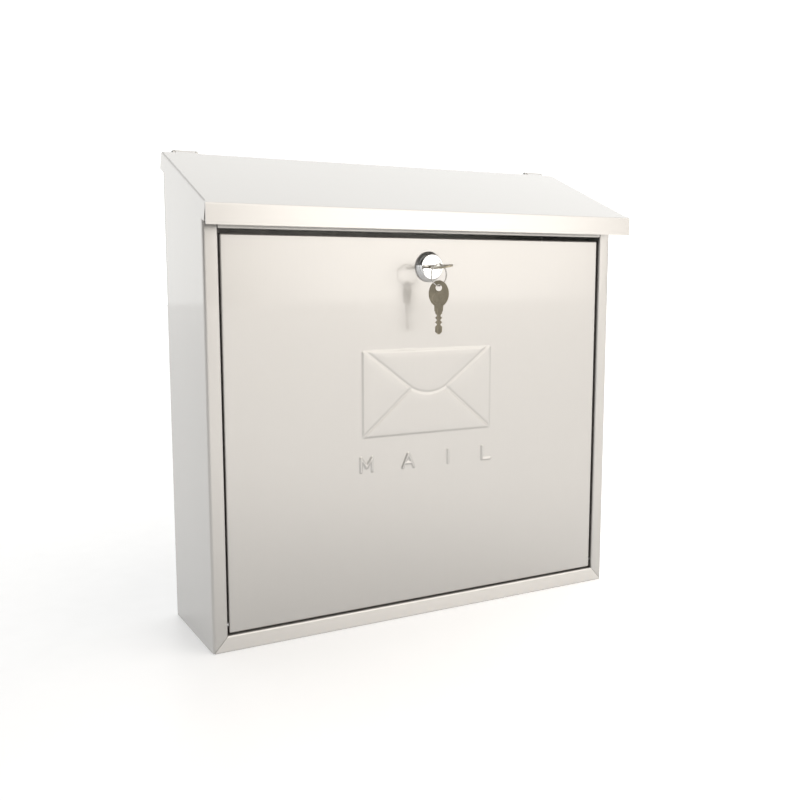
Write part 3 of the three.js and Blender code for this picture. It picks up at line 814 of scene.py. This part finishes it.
def placed(mesh, place):
    """The mesh turned and moved by a matrix in millimetres."""
    scaled = place.copy()
    scaled.translation = place.translation * MM
    mesh.transform(scaled)
    return mesh


# The keys' bows are about these points; an inserted key points into the door, a hung one down.
key_centre = Vector((LOCK.x, low("door_key").y + KEY_BOW[1], LOCK.z))
inserted = (
    Matrix.Translation(key_centre)
    @ Matrix.Rotation(-KEY_TILT, 4, "Y")
    @ Matrix.Rotation(math.pi, 4, "X")
)
door_key = finished(
    "door_key_blank",
    placed(key_mesh("door_key_blank"), inserted),
    "key",
    nickel,
    ["door_key"],
)
add_soft_edges(door_key, KEY_EDGE, steps=3, sharpest=40)

spare_centre = middle("spare_key")
spare_centre.z = high("spare_key").z - KEY_BOW[1]
hung = (
    Matrix.Translation(spare_centre)
    @ Matrix.Rotation(SPARE_TURN, 4, "Z")
    @ Matrix.Rotation(math.pi / 2, 4, "X")
)
spare_key = finished(
    "spare_key_blank",
    placed(key_mesh("spare_key_blank"), hung),
    "spare",
    nickel,
    ["spare_key"],
)
add_soft_edges(spare_key, KEY_EDGE, steps=3, sharpest=40)


def ring_mesh():
    """A wire ring, round in section, whose two ends meet at the top."""
    centre = middle("key_ring")
    across = Vector((math.cos(RING_TURN), math.sin(RING_TURN), 0.0))
    normal = Vector((-math.sin(RING_TURN), math.cos(RING_TURN), 0.0))
    steps, sides = RING_MESH
    points = []
    for k in range(steps + 1):
        angle = math.pi / 2 + RING_SPLIT / 2 + (2 * math.pi - RING_SPLIT) * k / steps
        spoke = across * math.cos(angle) + Vector((0, 0, 1)) * math.sin(angle)
        for s in range(sides):
            turn = 2 * math.pi * s / sides
            wire = spoke * math.cos(turn) + normal * math.sin(turn)
            points.append(centre + spoke * RING_R + wire * RING_WIRE_R)
    faces = [
        (
            k * sides + s,
            k * sides + (s + 1) % sides,
            (k + 1) * sides + (s + 1) % sides,
            (k + 1) * sides + s,
        )
        for k in range(steps)
        for s in range(sides)
    ]
    faces += [tuple(range(sides)), tuple(range(steps * sides, (steps + 1) * sides))]
    return facing_out(mesh_of("ring_wire", points, faces))


ring = finished("ring_wire", ring_mesh(), "ring", wire_steel, ["key_ring"])
add_soft_edges(ring, RING_EDGE, sharpest=60)


def plug_mesh():
    """The plug, with a ring turned in its face, its keyway and the hole for the cam's screw."""
    back = LOCK.y - high("lock_plug").y
    face = BEZEL_PROUD - CLEARANCE
    step = BEZEL_RIM + 2 * CLEARANCE
    ring_out, ring_middle, ring_in = (PLUG_FACE_R - inset for inset in PLUG_RING)
    profile = [(PLUG_R, back), (PLUG_R, step), (PLUG_FACE_R, step), (PLUG_FACE_R, face)]
    profile += [(ring_out, face), (ring_middle, face - PLUG_RING_DEPTH), (ring_in, face)]
    whole = turned("lock_plug_turned", profile, capped=True)
    half = KEY_BLADE[0] + CLEARANCE
    far = -KEY_BOW[1] - KEY_NECK[1] - KEY_BLADE[1] - KEYWAY_BEYOND
    near = key_centre.y - (LOCK.y - face) + OVERCUT
    outline = [(-half, far), (half, far), (half, near), (-half, near)]
    keyway = placed(slab("keyway", outline, -KEYWAY_HALF, KEYWAY_HALF), inserted)
    bore_r, bore_depth = CAM_SCREW_BORE
    bore_ends = [(bore_r, back - OVERCUT), (bore_r, back + bore_depth)]
    bore = turned("bore", bore_ends, capped=True)
    return carved(whole, [keyway, bore])


plug = finished("lock_plug_turned", plug_mesh(), "lock_core", chrome, ["lock_plug"])
add_soft_edges(plug, PLUG_EDGE, sharpest=25)

# ---------------------------------------------------------------- studio

FLOOR_HALF = 9.0  # metres
# The paper's colour is painted shade at the back on the left and painted light in front on the
# right.
FLOOR_PAINTED_SHADE = (0.48, 0.48, 0.48)
FLOOR_PAINTED_LIGHT = (0.965, 0.947, 0.93)
FLOOR_GLOW = 0.36  # light that comes up through the paper
FLOOR_GLOW_COLOUR = (0.98, 0.99, 1.0, 1.0)
FLOOR_SHADE_TO_LIGHT = (0.75, -0.66, 0.0)  # from the painted shade towards the painted light
FLOOR_SPAN = (-0.2, 0.5)  # metres along that direction


def studio_floor():
    """A broad sheet of pale satin paper that glows a little, with painted shade towards the back on
    the left and painted light, a little lighter and warmer, in front on the right.
    """
    h = FLOOR_HALF / MM
    corners = [(x, y, FLOOR_Z) for x, y in ((-h, -h), (h, -h), (h, h), (-h, h))]
    mesh = mesh_of("floor", corners, [(0, 1, 2, 3)])
    shader = Shader("floor_paper")
    fibres = shader.noise((60.0, 60.0, 60.0), detail=4.0)
    place = shader.add("ShaderNodeTexCoord")
    along = shader.add("ShaderNodeVectorMath", operation="DOT_PRODUCT")
    along.inputs[1].default_value = FLOOR_SHADE_TO_LIGHT
    shader.links.new(place.outputs["Object"], along.inputs[0])
    # Painted shade and painted light: the paper's colour runs from dark at the back to light in
    # front.
    painted_light_share = shader.spread(along.outputs["Value"], 0.0, 1.0, FLOOR_SPAN)
    shader.colours(painted_light_share, FLOOR_PAINTED_SHADE, FLOOR_PAINTED_LIGHT, fence=(0.0, 1.0))
    shader.rough(shader.spread(fibres, 0.38, 0.44))
    shader.set(Emission_Color=FLOOR_GLOW_COLOUR, Emission_Strength=FLOOR_GLOW)
    mesh.materials.append(shader.material)
    floor = bpy.data.objects.new("floor", mesh)
    bpy.context.scene.collection.objects.link(floor)


studio_floor()

# A light covers the directions near its own. Its fence holds the cosines of the angles at which it
# starts to show and is full. Its level is a radiance.
ROOM_LEVEL = 1.45
ROOM_COLOUR = (1.0, 1.0, 0.99)
OVERHEAD_TOWARDS = (0.0, 0.0, 1.0)
OVERHEAD_LEVEL = 1.36
OVERHEAD_FENCE = (0.2, 0.9)
FRONT_COLOUR = (1.0, 0.962, 0.915)
FRONT_TOWARDS = (0.2, -1.0, 0.0)
FRONT_LEVEL = 0.85
FRONT_FENCE = (-0.1, 0.6)
SOFTBOX_TOWARDS = (0.505, -0.86, 0.07)
SOFTBOX_LEVEL = 4.1
SOFTBOX_FENCE = (0.965, 0.9995)
UPPER_TOWARDS = (0.35, -0.62, 0.70)
UPPER_LEVEL = 2.3
UPPER_FENCE = (0.72, 0.93)
FLAG_TOWARDS = (-0.845, -0.535, 0.0)
FLAG_FENCE = (0.88, 0.975)
CEILING_TOWARDS = (-0.36, 0.0, 0.93)
CEILING_FENCE = (0.83, 0.92)
DARK_LEVEL = 0.03


def studio_world():
    """A pale room: warm softboxes low and high in front, a dark flag on the left and a dark patch
    in the ceiling. The camera itself sees only the plain room."""
    world = bpy.data.worlds.new("studio")
    bpy.context.scene.world = world
    world.use_nodes = True
    nodes, links = world.node_tree.nodes, world.node_tree.links
    background = nodes["Background"]
    place = nodes.new("ShaderNodeTexCoord")

    def towards(direction, fence):
        """How much a light about the direction covers what is seen."""
        dot = nodes.new("ShaderNodeVectorMath")
        dot.operation = "DOT_PRODUCT"
        links.new(place.outputs["Generated"], dot.inputs[0])
        dot.inputs[1].default_value = Vector(direction).normalized()
        ramp = nodes.new("ShaderNodeMapRange")
        ramp.interpolation_type = "SMOOTHERSTEP"
        ramp.inputs["From Min"].default_value = fence[0]
        ramp.inputs["From Max"].default_value = fence[1]
        links.new(dot.outputs["Value"], ramp.inputs["Value"])
        return ramp.outputs["Result"]

    def colour_sockets(sockets):
        return [socket for socket in sockets if socket.type == "RGBA"]

    def over(below, factor, colour):
        """A colour laid over what is below, which is a colour or a socket."""
        mix = nodes.new("ShaderNodeMix")
        mix.data_type = "RGBA"
        links.new(factor, mix.inputs["Factor"])
        low_socket, high_socket = colour_sockets(mix.inputs)
        if isinstance(below, tuple):
            low_socket.default_value = (*below, 1)
        else:
            links.new(below, low_socket)
        high_socket.default_value = (*colour, 1)
        return colour_sockets(mix.outputs)[0]

    dark = (DARK_LEVEL,) * 3
    layers = [
        (OVERHEAD_TOWARDS, OVERHEAD_FENCE, tinted(ROOM_COLOUR, OVERHEAD_LEVEL)),
        (FRONT_TOWARDS, FRONT_FENCE, tinted(FRONT_COLOUR, FRONT_LEVEL)),
        (UPPER_TOWARDS, UPPER_FENCE, tinted(FRONT_COLOUR, UPPER_LEVEL)),
        (SOFTBOX_TOWARDS, SOFTBOX_FENCE, tinted(FRONT_COLOUR, SOFTBOX_LEVEL)),
        (FLAG_TOWARDS, FLAG_FENCE, dark),
        (CEILING_TOWARDS, CEILING_FENCE, dark),
    ]
    plain_room = tinted(ROOM_COLOUR, ROOM_LEVEL)
    room = plain_room
    for direction, fence, colour in layers:
        room = over(room, towards(direction, fence), colour)
    ray = nodes.new("ShaderNodeLightPath")
    shown = over(room, ray.outputs["Is Camera Ray"], plain_room)
    links.new(shown, background.inputs["Color"])


studio_world()

# ---------------------------------------------------------------- camera

CAMERA_PLACE = Vector((-379.8, -742.5, 88.8))
CAMERA_YAW = math.radians(28.66)  # to the right of straight at the wall
CAMERA_PITCH = math.radians(7.42)  # below level
CAMERA_ROLL = math.radians(-0.06)
CAMERA_LENS = 42.27
SENSOR_WIDTH = 36.0
CLIP = (0.01, 100.0)  # metres

camera_data = bpy.data.cameras.new("camera")
camera_data.lens = CAMERA_LENS
camera_data.sensor_width = SENSOR_WIDTH
camera_data.clip_start, camera_data.clip_end = CLIP
camera = bpy.data.objects.new("camera", camera_data)
bpy.context.scene.collection.objects.link(camera)
camera.matrix_world = (
    Matrix.Translation(CAMERA_PLACE * MM)
    @ Matrix.Rotation(-CAMERA_YAW, 4, "Z")
    @ Matrix.Rotation(math.pi / 2 - CAMERA_PITCH, 4, "X")
    @ Matrix.Rotation(CAMERA_ROLL, 4, "Z")
)
bpy.context.scene.camera = camera
bpy.context.scene.view_settings.view_transform = "Standard"
